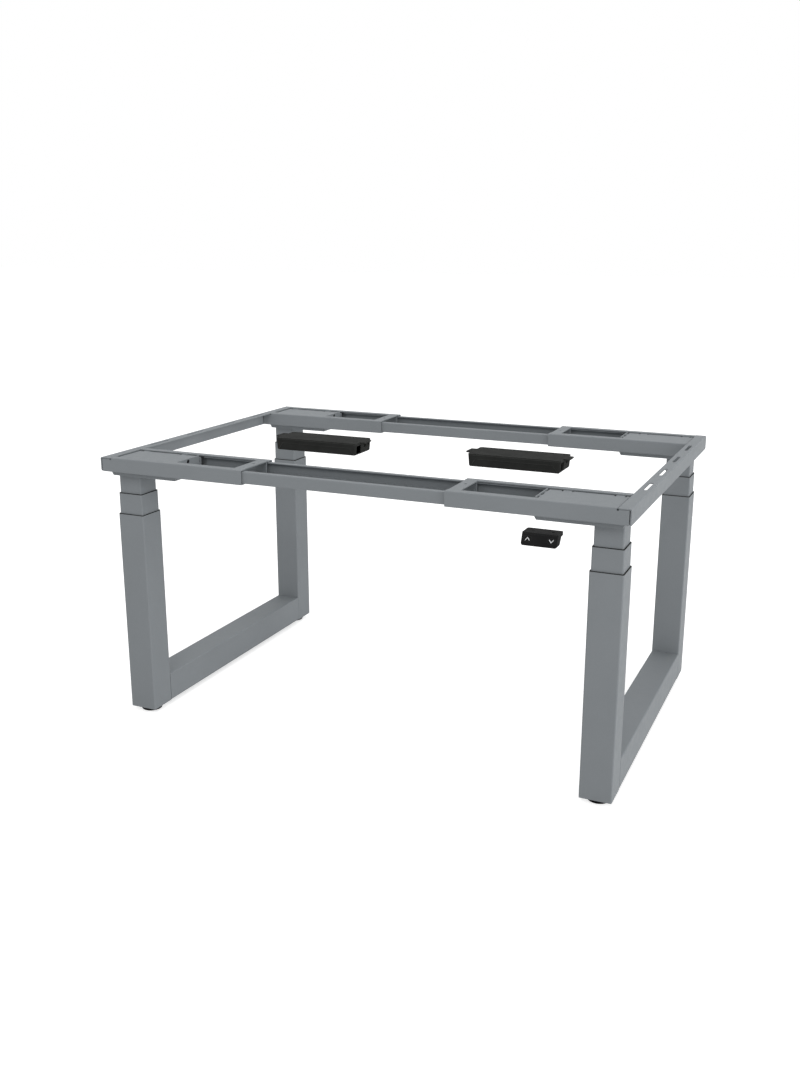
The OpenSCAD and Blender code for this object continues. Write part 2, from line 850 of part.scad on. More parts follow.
// A block seen from the front, with its two lower corners round, hanging from z = 0
module hung_outline(w, h, r) {
    translate([0, -h / 2]) round_rect(w, h, r);
    translate([-w / 2, -h / 2]) square([w, h / 2]);
}

module control_housing(side) {
    color(plastic_black) at_box(side) difference() {
        drafted_block(box_len, box_d, box_corner_r, [
            [0, -cover_t], [box_draft, -box_h + box_chamfer], [box_draft + box_chamfer, -box_h]
        ]);
        difference() {
            drafted_block(box_len, box_d, box_corner_r, [
                [box_wall, -cover_t + cut], [box_wall, -cover_t],
                [box_wall + box_draft, -box_h + box_wall]
            ]);
            standoffs_at() translate([0, 0, -box_h]) cylinder(d = standoff_d, h = box_wall + standoff_h);
        }
        port_blocks(box_len / 2 - box_corner_r, 2 * box_corner_r, 0);
        box_groove();
    }
}

module control_cover(side) {
    color(plastic_black) at_box(side) difference() {
        translate([0, 0, -cover_t]) linear_extrude(cover_t) {
            round_rect(box_len, box_d, box_corner_r);
            round_rect(box_len + 2 * box_ear_len, box_ear_w, ear_corner_r);
        }
        for (s = [-1, 1])
            translate([s * (box_len / 2 + box_ear_len - ear_hole_inset), 0, -cover_t - cut])
                cylinder(d = box_hole_d, h = cover_t + 2 * cut);
    }
}

module control_sockets() {
    x = box_len / 2 - socket_setback - socket_len;
    color(plastic_black) for (side = ["left", "right"]) at_box(side) difference() {
        union() {
            port_blocks(x, socket_len, socket_fit);
            port_blocks(x, socket_nose, socket_fit, true);
        }
        port_blocks(x + socket_back, socket_len, socket_fit + socket_wall);
    }
}

// A control board with its coil and capacitors, lying on the stand-offs
module control_board() {
    w = box_len - 2 * board_margin;
    d = box_d - 2 * board_margin;
    notch_x = box_len / 2 - socket_setback - socket_len - board_notch_gap;
    notch_d = mains_port[0] + 2 * board_notch_gap;
    difference() {
        translate([-w / 2, -d / 2, board_z]) cube([w, d, board_t]);
        translate([notch_x, port_middle_shares[0] * box_d - notch_d / 2, board_z - cut])
            cube([socket_len + socket_setback, notch_d, board_t + 2 * cut]);
    }
    translate([coil_x_share * box_len - coil_size.x / 2, -coil_size.y / 2, board_top_z])
        cube(coil_size);
    for (place = capacitor_shares)
        translate([place.x * box_len, place.y * box_d, board_top_z])
            cylinder(d = capacitor_d, h = capacitor_h);
}

// The handset's small board with a switch under each button
module key_board() {
    translate([-key_board_w / 2, button_rise - key_board_h / 2, -key_board_in - key_board_t])
        cube([key_board_w, key_board_h, key_board_t]);
    for (s = [-1, 1])
        translate([s * button_spread / 2, button_rise, -key_board_in])
            cylinder(d = switch_d, h = switch_h);
}

module circuit_boards() {
    color(board_green) {
        for (side = ["left", "right"]) at_box(side) control_board();
        at_handset_face() key_board();
    }
}

// Handset: a wedge under a flat mounting plate, with a face that looks up a little
module at_handset() {
    placed() translate([handset_x, handset_front_y, handset_face_z]) children();
}

// The middle of the sloping face, with Z out of the face and Y up it
module at_handset_face() {
    at_handset() translate([0, -handset_lean / 2, -handset_face_h / 2])
        rotate([90 - handset_tilt, 0, 0]) children();
}

// The wedge and its rim seen from the right end, with the open top reaching up to height h
function wedge_outline(h) = [
    [0, h], [0, 0], [-handset_lean, -handset_face_h], [handset_under_d, -handset_face_h],
    [handset_body_d, -handset_rim_h], [handset_d, -handset_rim_h], [handset_d, h]
];

// The handset seen from above, from in front of its face to its back, where it is round
module handset_plan() {
    depth = 2 * handset_d;
    translate([0, handset_d - depth / 2]) round_rect(handset_w, depth, handset_back_r);
}

module handset_holes_at() {
    for (s = [-1, 1])
        translate([s * handset_hole_spread / 2, handset_hole_inset, 0]) children();
}

// The wedge with round lower and back corners, solid
module handset_wedge() {
    intersection() {
        along_x(-handset_w / 2, handset_w) polygon(wedge_outline(0));
        along_y(2 * (handset_d + handset_lean))
            hung_outline(handset_w, handset_face_h, handset_under_r);
        translate([0, 0, -handset_face_h]) linear_extrude(handset_face_h) handset_plan();
    }
}

// The screws go up through two tubes that cross the hollow
module handset_housing() {
    color(plastic_black) difference() {
        union() {
            at_handset() difference() {
                handset_wedge();
                difference() {
                    along_x(-handset_w / 2 + handset_wall, handset_w - 2 * handset_wall)
                        polygon(inset(wedge_outline(handset_wall + cut), handset_wall));
                    handset_holes_at() translate([0, 0, -handset_face_h])
                        cylinder(d = handset_tube_d, h = handset_face_h);
                }
                handset_holes_at() {
                    translate([0, 0, -handset_face_h - cut])
                        cylinder(d = handset_hole_d, h = handset_face_h + 2 * cut);
                    translate([0, 0, -handset_face_h - cut])
                        cylinder(d = handset_pocket_d, h = handset_face_h + cut - handset_seat_t);
                }
            }
            at_handset_face() for (s = [-1, 1])
                translate([s * key_post_spread / 2, button_rise, -key_board_in])
                    cylinder(d = key_post_d, h = key_board_in - handset_wall + button_rest);
        }
        at_handset_face() for (s = [-1, 1])
            translate([s * button_spread / 2, button_rise, -handset_wall - cut])
                linear_extrude(handset_wall + 2 * cut) round_rect(
                    button_w + 2 * button_gap, button_h + 2 * button_gap, button_r + button_gap
                );
    }
}

module handset_plate() {
    color(plastic_black) at_handset() difference() {
        intersection() {
            linear_extrude(handset_plate_t) handset_plan();
            translate([-handset_w / 2, 0, 0]) cube([handset_w, handset_d, handset_plate_t]);
        }
        handset_holes_at() translate([0, 0, -cut])
            cylinder(d = handset_hole_d, h = handset_plate_t + 2 * cut);
    }
}

module handset_button(s) {
    in = handset_wall + button_rest;
    color(plastic_black) at_handset_face() translate([s * button_spread / 2, button_rise, -in]) {
        linear_extrude(in + button_proud) round_rect(button_w, button_h, button_r);
        translate([0, 0, -button_flange_t]) linear_extrude(button_flange_t)
            round_rect(button_w + 2 * button_flange, button_h, button_r);
    }
}

outer_tube("left", "front");  // left_front_outer_tube
outer_tube("left", "rear");  // left_rear_outer_tube
outer_tube("right", "front");  // right_front_outer_tube
outer_tube("right", "rear");  // right_rear_outer_tube
middle_tube("left", "front");  // left_front_middle_tube
middle_tube("left", "rear");  // left_rear_middle_tube
middle_tube("right", "front");  // right_front_middle_tube
middle_tube("right", "rear");  // right_rear_middle_tube
inner_tube("left", "front");  // left_front_inner_tube
inner_tube("left", "rear");  // left_rear_inner_tube
inner_tube("right", "front");  // right_front_inner_tube
inner_tube("right", "rear");  // right_rear_inner_tube
foot_beam("left");  // left_foot_beam
foot_beam("right");  // right_foot_beam
foot("left", "front");  // left_front_foot
foot("left", "rear");  // left_rear_foot
foot("right", "front");  // right_front_foot
foot("right", "rear");  // right_rear_foot
rail_end("left", "front");  // left_front_rail_end
rail_end("left", "rear");  // left_rear_rail_end
rail_end("right", "front");  // right_front_rail_end
rail_end("right", "rear");  // right_rear_rail_end
middle_rail("front");  // front_middle_rail
middle_rail("rear");  // rear_middle_rail
side_support("left");  // left_side_support
side_support("right");  // right_side_support
column_tray("left", "front");  // left_front_column_tray
column_tray("left", "rear");  // left_rear_column_tray
column_tray("right", "front");  // right_front_column_tray
column_tray("right", "rear");  // right_rear_column_tray
column_plates("left");  // left_column_plates
column_plates("right");  // right_column_plates
rail_straps("left");  // left_rail_straps
rail_straps("right");  // right_rail_straps
leg_bases("left");  // left_leg_bases
leg_bases("right");  // right_leg_bases
outer_guides("left");  // left_outer_guides
outer_guides("right");  // right_outer_guides
middle_guides("left");  // left_middle_guides
middle_guides("right");  // right_middle_guides
nut_carriers("left");  // left_nut_carriers
nut_carriers("right");  // right_nut_carriers
spindle("left", "front");  // left_front_spindle
spindle("left", "rear");  // left_rear_spindle
spindle("right", "front");  // right_front_spindle
spindle("right", "rear");  // right_rear_spindle
gear_motors("left");  // left_gear_motors
gear_motors("right");  // right_gear_motors
frame_screws("left");  // left_frame_screws
frame_screws("right");  // right_frame_screws
control_housing("left");  // left_control_housing
control_housing("right");  // right_control_housing
control_cover("left");  // left_control_cover
control_cover("right");  // right_control_cover
control_sockets();
circuit_boards();
handset_housing();
handset_plate();
handset_button(-1);  // up_button
handset_button(1);  // down_button
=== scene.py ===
"""The looks of a four-column standing desk frame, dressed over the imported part.

Every CAD piece is drawn again as its own mesh with softened edges, and takes a procedural
finish: powder coat, moulded plastic, zinc-plated steel or lacquered board. All lengths are
in metres, in the part's own frame: X along the rails, Y to the back, Z up from the floor.
"""
import json
import math

import bmesh
import bpy
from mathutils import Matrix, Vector


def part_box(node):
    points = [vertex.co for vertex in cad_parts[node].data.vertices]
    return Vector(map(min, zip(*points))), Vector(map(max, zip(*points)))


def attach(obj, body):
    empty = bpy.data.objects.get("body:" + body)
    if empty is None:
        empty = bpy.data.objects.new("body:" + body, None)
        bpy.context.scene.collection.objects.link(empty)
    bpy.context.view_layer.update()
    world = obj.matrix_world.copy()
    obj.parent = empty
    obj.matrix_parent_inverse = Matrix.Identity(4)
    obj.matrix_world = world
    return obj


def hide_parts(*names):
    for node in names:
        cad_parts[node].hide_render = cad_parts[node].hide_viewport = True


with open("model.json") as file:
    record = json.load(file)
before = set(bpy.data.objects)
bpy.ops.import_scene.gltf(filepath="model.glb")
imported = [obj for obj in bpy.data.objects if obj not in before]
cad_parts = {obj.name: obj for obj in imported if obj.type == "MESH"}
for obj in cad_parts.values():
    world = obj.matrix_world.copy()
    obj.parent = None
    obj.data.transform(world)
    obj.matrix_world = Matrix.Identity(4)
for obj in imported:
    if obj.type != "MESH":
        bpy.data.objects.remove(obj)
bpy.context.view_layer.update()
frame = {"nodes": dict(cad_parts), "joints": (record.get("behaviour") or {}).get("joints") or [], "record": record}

MM = 0.001
BODY_OF = {
    node: body
    for body, nodes in frame["record"]["behaviour"]["bodies"].items()
    for node in nodes
}
SLOT_OF = {row["node"]: row["material_slot"] for row in frame["record"]["subparts"]}

# Colours, as they are written in the sRGB scale
POWDER_GREY = (0.523, 0.540, 0.553)
PLASTIC_BLACK = (0.172, 0.175, 0.171)
HANDSET_BLACK = (0.128, 0.129, 0.130)
FOOT_BLACK = (0.085, 0.085, 0.087)
ZINC_GREY = (0.700, 0.710, 0.725)
ZINC_YELLOWED = (0.735, 0.735, 0.715)
BOARD_GREEN = (0.070, 0.260, 0.150)
LEGEND_WHITE = (0.880, 0.885, 0.890)
FLOOR_WHITE = (0.900, 0.900, 0.900)
PURE_WHITE = (1, 1, 1, 1)

# The scale's own constants
SRGB_TOE = 0.04045
SRGB_TOE_SLOPE = 12.92
SRGB_OFFSET = 0.055
SRGB_POWER = 2.4

# How much darker or paler than its colour each finish goes, as a factor on the colour
COAT_CLOUDS_RANGE = (0.985, 1.015)
COAT_SPECKLE = 1.05
# The coat's edges turn paler by this factor: a painted highlight
COAT_EDGE_HIGHLIGHT = 1.15
PLASTIC_CLOUDS_RANGE = (0.92, 1.08)
# The plastic's edges turn paler by this factor: a painted highlight
PLASTIC_EDGE_HIGHLIGHT = 1.9
ZINC_DARK = 0.93
BOARD_PALE = 1.15
BOARD_TRACK = 1.6
LEGEND_THIN = 0.93

# The grains of the finishes, in cells to the metre
COAT_CLOUD_CELLS = 9.0
COAT_SPECKLE_CELLS = 1500.0
COAT_SHEEN_CELLS = 60.0
COAT_PEEL_CELLS = 420.0
COAT_GRAIN_CELLS = 1700.0
PLASTIC_CLOUD_CELLS = 25.0
PLASTIC_SHEEN_CELLS = 90.0
CASE_GRAIN_CELLS = 1300.0
HANDSET_GRAIN_CELLS = 1500.0
FOOT_GRAIN_CELLS = 700.0
ZINC_CLOUD_CELLS = 40.0
ZINC_LINE_CELLS = 300.0
ZINC_LINE_STRETCH = (1.0, 1.0, 0.04)
BOARD_SHEEN_CELLS = 200.0
BOARD_TRACK_CELLS = 160.0
BOARD_TRACK_SHARE = 0.06
LEGEND_TONE_CELLS = 2500.0
LEGEND_GRAIN_CELLS = 1800.0

# Bumps, each a strength and a depth
COAT_PEEL_BUMP = (0.25, 0.12 * MM)
COAT_GRAIN_BUMP = (0.30, 0.05 * MM)
PLASTIC_BUMP = (0.35, 0.06 * MM)
ZINC_BUMP = (0.20, 0.03 * MM)
BOARD_BUMP = (0.30, 0.05 * MM)
LEGEND_BUMP = (0.20, 0.02 * MM)

# Roughness, from the smoothest to the roughest place of a finish
COAT_ROUGHNESS = (0.47, 0.57)
CASE_ROUGHNESS = (0.65, 0.75)
HANDSET_ROUGHNESS = (0.61, 0.71)
FOOT_ROUGHNESS = (0.65, 0.75)
ZINC_ROUGHNESS = (0.26, 0.40)
BOARD_ROUGHNESS = (0.25, 0.35)
LEGEND_ROUGHNESS = 0.5
COAT_SPECULAR = 0.06
PLASTIC_SPECULAR = 0.03

# How many finer layers a noise adds, and how strong they are
FINE_DETAIL = 2.0
PLAIN_DETAIL = 3.0
CLOUD_DETAIL = 4.0
DETAIL_STRENGTH = 0.55

# The part of a noise's values that is used, since it seldom leaves it
NOISE_SPAN = (0.3, 0.7)
SPECKLE_SPAN = (0.35, 0.75)

# The painted highlight along the edges, a paler colour: how strong it is and how far it reaches
COAT_HIGHLIGHT_AMOUNT = 0.5
COAT_HIGHLIGHT_REACH = 1.2 * MM
PLASTIC_HIGHLIGHT_AMOUNT = 0.8
PLASTIC_HIGHLIGHT_REACH = 1.5 * MM
# The samples of the painted edge highlight's mask
HIGHLIGHT_SAMPLES = 4
# How well the rounded normal matches the face's own, from the edge itself to the flat
HIGHLIGHT_MATCH = (0.80, 0.99)

# How wide each kind of piece's edges are softened
SHEET_EDGE = 0.5 * MM
TUBE_EDGE = 0.4 * MM
GUIDE_EDGE = 0.25 * MM
CASE_EDGE = 1.0 * MM
HANDSET_EDGE = 0.9 * MM
BUTTON_EDGE = 0.5 * MM
PART_EDGE = 0.3 * MM
EDGE_SEGMENTS = 2
SHARP_ANGLE = math.radians(32)
FLAT_ANGLE = math.radians(0.6)
MERGE_DISTANCE = 0.001 * MM

EDGES = {
    "outer_tube": TUBE_EDGE,
    "middle_tube": TUBE_EDGE,
    "inner_tube": TUBE_EDGE,
    "foot_beam": TUBE_EDGE,
    "rail_end": SHEET_EDGE,
    "middle_rail": SHEET_EDGE,
    "side_support": SHEET_EDGE,
    "column_tray": SHEET_EDGE,
    "column_plates": SHEET_EDGE,
    "rail_straps": SHEET_EDGE,
    "outer_guides": GUIDE_EDGE,
    "middle_guides": GUIDE_EDGE,
    "foot": PART_EDGE,
    "leg_bases": PART_EDGE,
    "nut_carriers": PART_EDGE,
    "spindle": PART_EDGE,
    "gear_motors": PART_EDGE,
    "frame_screws": PART_EDGE,
    "control_housing": CASE_EDGE,
    "control_cover": CASE_EDGE,
    "control_sockets": PART_EDGE,
    "circuit_boards": PART_EDGE,
    "handset_housing": HANDSET_EDGE,
    "handset_plate": HANDSET_EDGE,
    "up_button": BUTTON_EDGE,
    "down_button": BUTTON_EDGE,
}

# Black pieces that take the handset's plastic instead of the control boxes'
HAND_BODIES = ("up_button", "down_button")
HAND_NODES = ("handset_housing", "handset_plate")

# The height of a levelling foot's plastic disc, below its steel hexagon
FOOT_DISC = 10 * MM
FOOT_DISC_MARGIN = 0.1 * MM

# The printed arrows on the handset's two buttons
ARROW_W = 7.8 * MM
ARROW_H = 4.8 * MM
ARROW_LINE = 1.3 * MM
ARROW_T = 0.12 * MM
ARROW_SUNK = 0.05 * MM
FACE_TOLERANCE = 0.01 * MM

# The studio
FLOOR_SIZE = 60.0
FLOOR_GLOW = 0.62
FLOOR_ROUGHNESS = 0.9
FLOOR_SPECULAR = 0.1
WORLD_LIGHT = 0.56
WORLD_SEEN = 1.0
LAMP_AIM = (0, 0, 0.45)
# Each lamp's place, the side of its square and its power in watts
LAMPS = {
    "key": ((17.0, -4.0, 4.9), 9.0, 1050.0),
    "top": ((0.3, 2.5, 7.5), 5.0, 150.0),
    "front": ((1.2, -6.5, 5.5), 3.0, 100.0),
}
CAMERA_PLACE = (1.03751, -2.30633, 1.14185)
CAMERA_PITCH = math.radians(74.835)
CAMERA_YAW = math.radians(24.119)
# The lens and the sensor are in millimetres, as Blender counts them
CAMERA_LENS = 36.975
CAMERA_SENSOR = 36.0
CAMERA_REACH = 200.0


def linear(colour):
    """The colour's linear values, as a shader socket takes them."""
    values = [
        c / SRGB_TOE_SLOPE
        if c <= SRGB_TOE
        else ((c + SRGB_OFFSET) / (1 + SRGB_OFFSET)) ** SRGB_POWER
        for c in colour
    ]
    return (*values, 1.0)


def shade(colour, factor):
    """The colour, so many times as pale."""
    return tuple(min(1.0, c * factor) for c in colour)


class Finish:
    """A material under construction: its tree, its shader and the object's own coordinates."""

    def __init__(self, name):
        self.material = bpy.data.materials.new(name)
        self.material.use_nodes = True
        self.tree = self.material.node_tree
        self.shader = self.tree.nodes["Principled BSDF"]
        self.place = self.tree.nodes.new("ShaderNodeTexCoord").outputs["Object"]

    def link(self, source, target):
        self.tree.links.new(source, target)

    def feed(self, source, socket):
        """Links a value to one of the shader's sockets."""
        self.link(source, self.shader.inputs[socket])

    def fix(self, value, socket):
        """Sets one of the shader's sockets to a constant."""
        self.shader.inputs[socket].default_value = value

    def noise(self, cells, detail=PLAIN_DETAIL, stretch=None):
        """A noise over the object, so many cells to the metre."""
        place = self.place
        if stretch:
            mapping = self.tree.nodes.new("ShaderNodeMapping")
            mapping.inputs["Scale"].default_value = stretch
            self.link(place, mapping.inputs["Vector"])
            place = mapping.outputs["Vector"]
        node = self.tree.nodes.new("ShaderNodeTexNoise")
        node.inputs["Scale"].default_value = cells
        node.inputs["Detail"].default_value = detail
        node.inputs["Roughness"].default_value = DETAIL_STRENGTH
        self.link(place, node.inputs["Vector"])
        return node.outputs["Fac"]

    def spread(self, value, low, high, span=NOISE_SPAN):
        """Carries a value from its span over to low..high."""
        node = self.tree.nodes.new("ShaderNodeMapRange")
        node.inputs["From Min"].default_value, node.inputs["From Max"].default_value = span
        node.inputs["To Min"].default_value = low
        node.inputs["To Max"].default_value = high
        self.link(value, node.inputs["Value"])
        return node.outputs["Result"]

    def blend(self, amount, first, second):
        """Mixes two colours, each a tuple or a socket."""
        node = self.tree.nodes.new("ShaderNodeMix")
        node.data_type = "RGBA"
        for value, socket in ((first, node.inputs["A"]), (second, node.inputs["B"])):
            if isinstance(value, tuple):
                socket.default_value = value
            else:
                self.link(value, socket)
        self.link(amount, node.inputs["Factor"])
        return node.outputs["Result"]

    def clouds(self, cells, detail, dark, pale):
        """Large soft clouds from a dark to a pale tone."""
        amount = self.spread(self.noise(cells, detail), 0.0, 1.0)
        return self.blend(amount, linear(dark), linear(pale))

    def edges(self, amount, width):
        """The mask of the painted edge highlight: rises to amount along the piece's edges, so many metres wide."""
        rounded = self.tree.nodes.new("ShaderNodeBevel")
        rounded.samples = HIGHLIGHT_SAMPLES
        rounded.inputs["Radius"].default_value = width
        surface = self.tree.nodes.new("ShaderNodeNewGeometry").outputs["Normal"]
        match = self.tree.nodes.new("ShaderNodeVectorMath")
        match.operation = "DOT_PRODUCT"
        self.link(rounded.outputs["Normal"], match.inputs[0])
        self.link(surface, match.inputs[1])
        return self.spread(match.outputs["Value"], amount, 0.0, HIGHLIGHT_MATCH)

    def bump(self, *layers):
        """Layers of bumps, each a value with its strength and depth."""
        normal = None
        for value, (strength, depth) in layers:
            node = self.tree.nodes.new("ShaderNodeBump")
            node.inputs["Strength"].default_value = strength
            node.inputs["Distance"].default_value = depth
            self.link(value, node.inputs["Height"])
            if normal:
                self.link(normal, node.inputs["Normal"])
            normal = node.outputs["Normal"]
        self.feed(normal, "Normal")


def powder_coat():
    """Fine-grained satin powder coat: orange peel, faint clouds and slightly paler edges, a painted highlight."""
    finish = Finish("powder_coat_grey")
    dark, pale = (shade(POWDER_GREY, factor) for factor in COAT_CLOUDS_RANGE)
    tone = finish.clouds(COAT_CLOUD_CELLS, CLOUD_DETAIL, dark, pale)
    speckle = finish.spread(finish.noise(COAT_SPECKLE_CELLS, FINE_DETAIL), 0.0, 1.0, SPECKLE_SPAN)
    tone = finish.blend(speckle, tone, linear(shade(POWDER_GREY, COAT_SPECKLE)))
    # Painted highlight: the colour turns paler along the edges, as if they caught the light
    painted_highlight = finish.edges(COAT_HIGHLIGHT_AMOUNT, COAT_HIGHLIGHT_REACH)
    tone = finish.blend(painted_highlight, tone, linear(shade(POWDER_GREY, COAT_EDGE_HIGHLIGHT)))
    finish.feed(tone, "Base Color")
    finish.feed(finish.spread(finish.noise(COAT_SHEEN_CELLS), *COAT_ROUGHNESS), "Roughness")
    finish.fix(COAT_SPECULAR, "Specular IOR Level")
    finish.bump(
        (finish.noise(COAT_PEEL_CELLS, FINE_DETAIL), COAT_PEEL_BUMP),
        (finish.noise(COAT_GRAIN_CELLS, FINE_DETAIL), COAT_GRAIN_BUMP),
    )
    return finish.material


def moulded_plastic(name, colour, grain, roughness):
    """Spark-eroded black plastic: fine grain, faint clouds and edges painted paler as a highlight."""
    finish = Finish(name)
    dark, pale = (shade(colour, factor) for factor in PLASTIC_CLOUDS_RANGE)
    tone = finish.clouds(PLASTIC_CLOUD_CELLS, PLAIN_DETAIL, dark, pale)
    # Painted highlight: the colour turns paler along the edges, as if they caught the light
    painted_highlight = finish.edges(PLASTIC_HIGHLIGHT_AMOUNT, PLASTIC_HIGHLIGHT_REACH)
    tone = finish.blend(painted_highlight, tone, linear(shade(colour, PLASTIC_EDGE_HIGHLIGHT)))
    finish.feed(tone, "Base Color")
    finish.feed(finish.spread(finish.noise(PLASTIC_SHEEN_CELLS), *roughness), "Roughness")
    finish.fix(PLASTIC_SPECULAR, "Specular IOR Level")
    finish.bump((finish.noise(grain), PLASTIC_BUMP))
    return finish.material


def zinc_plate():
    """Bright zinc plating on drawn steel: faint blue-yellow clouds and drawing lines."""
    finish = Finish("zinc_plated_steel")
    dark = shade(ZINC_GREY, ZINC_DARK)
    tone = finish.clouds(ZINC_CLOUD_CELLS, CLOUD_DETAIL, dark, ZINC_YELLOWED)
    finish.feed(tone, "Base Color")
    lines = finish.noise(ZINC_LINE_CELLS, stretch=ZINC_LINE_STRETCH)
    finish.feed(finish.spread(lines, *ZINC_ROUGHNESS), "Roughness")
    finish.fix(1.0, "Metallic")
    finish.bump((lines, ZINC_BUMP))
    return finish.material


def circuit_board():
    """Green solder resist over copper tracks."""
    finish = Finish("circuit_board_green")
    tracks = finish.tree.nodes.new("ShaderNodeTexBrick")
    tracks.inputs["Scale"].default_value = BOARD_TRACK_CELLS
    tracks.inputs["Mortar Size"].default_value = BOARD_TRACK_SHARE
    tracks.inputs["Color1"].default_value = linear(BOARD_GREEN)
    tracks.inputs["Color2"].default_value = linear(shade(BOARD_GREEN, BOARD_PALE))
    tracks.inputs["Mortar"].default_value = linear(shade(BOARD_GREEN, BOARD_TRACK))
    finish.link(finish.place, tracks.inputs["Vector"])
    finish.feed(tracks.outputs["Color"], "Base Color")
    finish.feed(finish.spread(finish.noise(BOARD_SHEEN_CELLS), *BOARD_ROUGHNESS), "Roughness")
    finish.bump((tracks.outputs["Fac"], BOARD_BUMP))
    return finish.material


def printed_legend():
    """White pad-printed ink with the plastic's grain showing through."""
    finish = Finish("white_legend")
    thin = shade(LEGEND_WHITE, LEGEND_THIN)
    tone = finish.clouds(LEGEND_TONE_CELLS, PLAIN_DETAIL, thin, LEGEND_WHITE)
    finish.feed(tone, "Base Color")
    finish.fix(LEGEND_ROUGHNESS, "Roughness")
    finish.bump((finish.noise(LEGEND_GRAIN_CELLS), LEGEND_BUMP))
    return finish.material


FINISHES = {
    "powder_coat": powder_coat(),
    "black_plastic": moulded_plastic(
        "black_moulded_plastic", PLASTIC_BLACK, CASE_GRAIN_CELLS, CASE_ROUGHNESS
    ),
    "handset": moulded_plastic(
        "black_handset_plastic", HANDSET_BLACK, HANDSET_GRAIN_CELLS, HANDSET_ROUGHNESS
    ),
    "foot_plastic": moulded_plastic(
        "black_foot_plastic", FOOT_BLACK, FOOT_GRAIN_CELLS, FOOT_ROUGHNESS
    ),
    "zinc_steel": zinc_plate(),
    "circuit_board": circuit_board(),
}
LEGEND = printed_legend()


def tidy(mesh):
    """Merges the CAD mesh's flat triangles into whole faces, so that its edges can be softened."""
    work = bmesh.new()
    work.from_mesh(mesh)
    bmesh.ops.remove_doubles(work, verts=work.verts, dist=MERGE_DISTANCE)
    bmesh.ops.dissolve_limit(
        work,
        angle_limit=FLAT_ANGLE,
        verts=work.verts,
        edges=work.edges,
        use_dissolve_boundaries=False,
    )
    for face in work.faces:
        face.smooth = True
    work.to_mesh(mesh)
    work.free()


def soften(piece, width):
    """Rounds the piece's sharp edges and keeps its flat faces flat to the light."""
    bevel = piece.modifiers.new("edge", "BEVEL")
    bevel.width = width
    bevel.segments = EDGE_SEGMENTS
    bevel.limit_method = "ANGLE"
    bevel.angle_limit = SHARP_ANGLE
    bevel.harden_normals = True
    bevel.miter_outer = "MITER_ARC"
    weights = piece.modifiers.new("flat", "WEIGHTED_NORMAL")
    weights.keep_sharp = True


def add(name, mesh, body, material):
    """Makes a piece of the looks that rides on a body."""
    piece = bpy.data.objects.new(name, mesh)
    bpy.context.scene.collection.objects.link(piece)
    piece.data.materials.clear()
    piece.data.materials.append(material)
    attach(piece, body)
    return piece


def finish_of(node):
    """The finish of the node's slot, or the handset's own plastic."""
    in_hand = BODY_OF[node] in HAND_BODIES or node in HAND_NODES
    return FINISHES["handset" if in_hand else SLOT_OF[node]]


def edge_of(node):
    """The edge of the longest kind that the node's name ends in."""
    kinds = [kind for kind in EDGES if node.endswith(kind)]
    return EDGES[max(kinds, key=len)]


def dress(node):
    """Draws a CAD node again with soft edges and its finish."""
    mesh = frame["nodes"][node].data.copy()
    mesh.materials.clear()
    tidy(mesh)
    piece = add(f"{node}_dressed", mesh, BODY_OF[node], finish_of(node))
    soften(piece, edge_of(node))
    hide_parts(node)
    return piece


def paint_above(piece, height, material):
    """Gives the faces above a height another finish."""
    piece.data.materials.append(material)
    for face in piece.data.polygons:
        if face.center.z > height:
            face.material_index = len(piece.data.materials) - 1


dressed = {node: dress(node) for node in frame["nodes"]}
for name in [n for n in dressed if n.endswith("_foot")]:
    paint_above(dressed[name], FOOT_DISC + FOOT_DISC_MARGIN, FINISHES["zinc_steel"])


def press_axis(name):
    """The way a button moves when it is pressed."""
    joint = next(j for j in frame["joints"] if j["name"] == name)
    return Vector(joint["axis"]).normalized()


def arrow(button, way):
    """A chevron that points up (1) or down (-1), lying on the button's face."""
    out = -press_axis(f"{button}_press")
    right = Vector((1, 0, 0))
    up = out.cross(right).normalized()
    points = [v.co for v in frame["nodes"][button].data.vertices]
    face = max(p.dot(out) for p in points)
    front = [p for p in points if p.dot(out) > face - FACE_TOLERANCE]
    middle = sum(front, Vector()) / len(front)
    low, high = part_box(button)
    middle.x = (low[0] + high[0]) / 2
    half = ARROW_W / 2
    rise = way * ARROW_H / 2
    drop = way * ARROW_LINE * math.hypot(half, ARROW_H) / half
    outline = [
        (-half, -rise), (0, rise), (half, -rise),
        (half, -rise - drop), (0, rise - drop), (-half, -rise - drop),
    ]
    shift = drop / 2
    work = bmesh.new()
    rows = []
    for depth in (-ARROW_SUNK, ARROW_T):
        rows.append([
            work.verts.new(middle + right * x + up * (y + shift) + out * depth)
            for x, y in outline
        ])
    for row in rows:
        work.faces.new((row[0], row[1], row[4], row[5]))
        work.faces.new((row[1], row[2], row[3], row[4]))
    count = len(outline)
    for i in range(count):
        j = (i + 1) % count
        work.faces.new((rows[0][i], rows[0][j], rows[1][j], rows[1][i]))
    bmesh.ops.recalc_face_normals(work, faces=work.faces)
    mesh = bpy.data.meshes.new(f"{button}_arrow")
    work.to_mesh(mesh)
    work.free()
    return add(f"{button}_arrow", mesh, BODY_OF[button], LEGEND)


arrow("up_button", 1)
arrow("down_button", -1)


def seen_directly(tree):
    """1 where the camera, a mirror or a clear piece sees the surface, else 0."""
    path = tree.nodes.new("ShaderNodeLightPath")
    total = path.outputs["Is Camera Ray"]
    for name in ("Is Glossy Ray", "Is Transmission Ray"):
        node = tree.nodes.new("ShaderNodeMath")
        node.operation = "MAXIMUM"
        tree.links.new(total, node.inputs[0])
        tree.links.new(path.outputs[name], node.inputs[1])
        total = node.outputs["Value"]
    return total


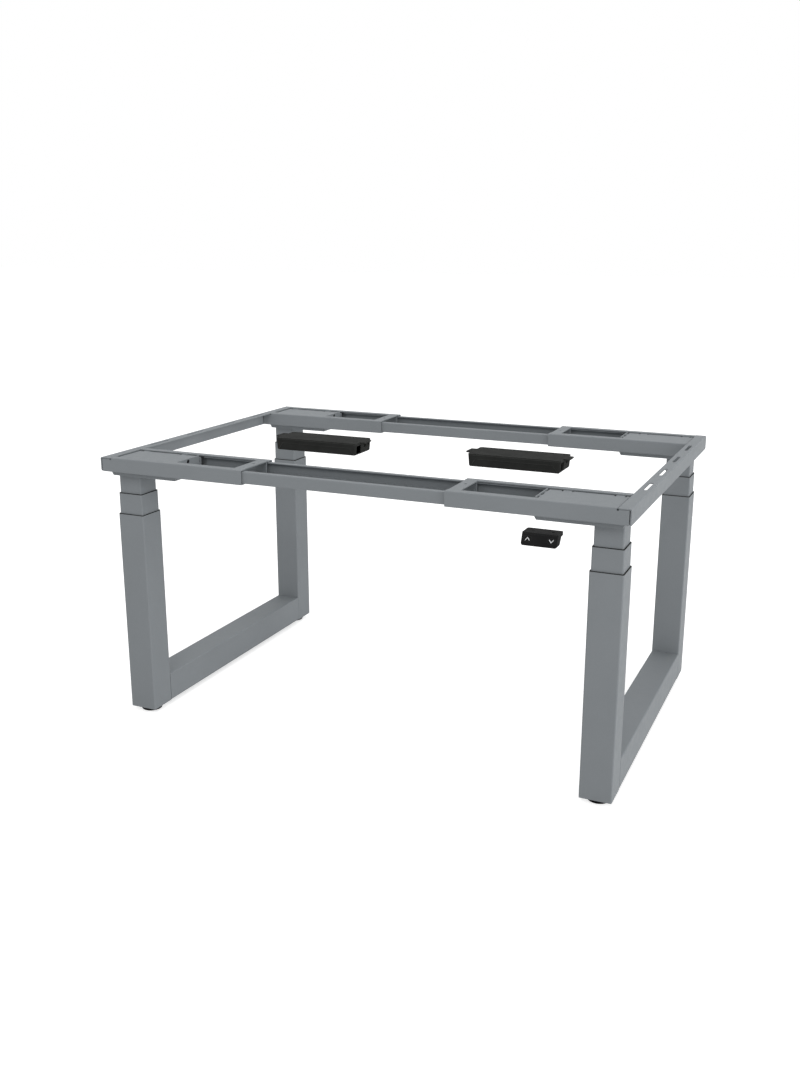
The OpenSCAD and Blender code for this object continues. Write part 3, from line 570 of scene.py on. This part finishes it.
def make_floor():
    """A pale floor that looks white and keeps the object's shadow."""
    mesh = bpy.data.meshes.new("floor")
    half = FLOOR_SIZE / 2
    mesh.from_pydata(
        [(-half, -half, 0), (half, -half, 0), (half, half, 0), (-half, half, 0)],
        [],
        [(0, 1, 2, 3)],
    )
    floor = bpy.data.objects.new("floor", mesh)
    bpy.context.scene.collection.objects.link(floor)
    material = bpy.data.materials.new("floor")
    material.use_nodes = True
    tree = material.node_tree
    shader = tree.nodes["Principled BSDF"]
    shader.inputs["Base Color"].default_value = linear(FLOOR_WHITE)
    shader.inputs["Roughness"].default_value = FLOOR_ROUGHNESS
    shader.inputs["Specular IOR Level"].default_value = FLOOR_SPECULAR
    shader.inputs["Emission Color"].default_value = PURE_WHITE
    glow = tree.nodes.new("ShaderNodeMath")
    glow.operation = "MULTIPLY"
    glow.inputs[1].default_value = FLOOR_GLOW
    tree.links.new(seen_directly(tree), glow.inputs[0])
    tree.links.new(glow.outputs["Value"], shader.inputs["Emission Strength"])
    mesh.materials.append(material)


def make_world():
    """A surround that looks white and lights the object at a lower level."""
    world = bpy.data.worlds.new("studio")
    bpy.context.scene.world = world
    world.use_nodes = True
    tree = world.node_tree
    sky = tree.nodes["Background"]
    sky.inputs["Color"].default_value = PURE_WHITE
    strength = tree.nodes.new("ShaderNodeMapRange")
    strength.inputs["To Min"].default_value = WORLD_LIGHT
    strength.inputs["To Max"].default_value = WORLD_SEEN
    tree.links.new(seen_directly(tree), strength.inputs["Value"])
    tree.links.new(strength.outputs["Result"], sky.inputs["Strength"])


def make_lamp(name, place, size, power):
    """A soft square lamp that is aimed at the middle of the frame."""
    data = bpy.data.lights.new(name, "AREA")
    data.shape = "SQUARE"
    data.size = size
    data.energy = power
    lamp = bpy.data.objects.new(name, data)
    bpy.context.scene.collection.objects.link(lamp)
    lamp.location = place
    aim = Vector(LAMP_AIM) - Vector(place)
    lamp.rotation_euler = aim.to_track_quat("-Z", "Y").to_euler()


def make_camera():
    """The camera at the photograph's own angle."""
    data = bpy.data.cameras.new("camera")
    data.lens = CAMERA_LENS
    data.sensor_width = CAMERA_SENSOR
    data.clip_end = CAMERA_REACH
    camera = bpy.data.objects.new("camera", data)
    bpy.context.scene.collection.objects.link(camera)
    camera.location = CAMERA_PLACE
    camera.rotation_euler = (CAMERA_PITCH, 0.0, CAMERA_YAW)
    bpy.context.scene.camera = camera


make_floor()
make_world()
for name, (place, size, power) in LAMPS.items():
    make_lamp(name, place, size, power)
make_camera()

scene = bpy.context.scene
scene.view_settings.view_transform = "Standard"
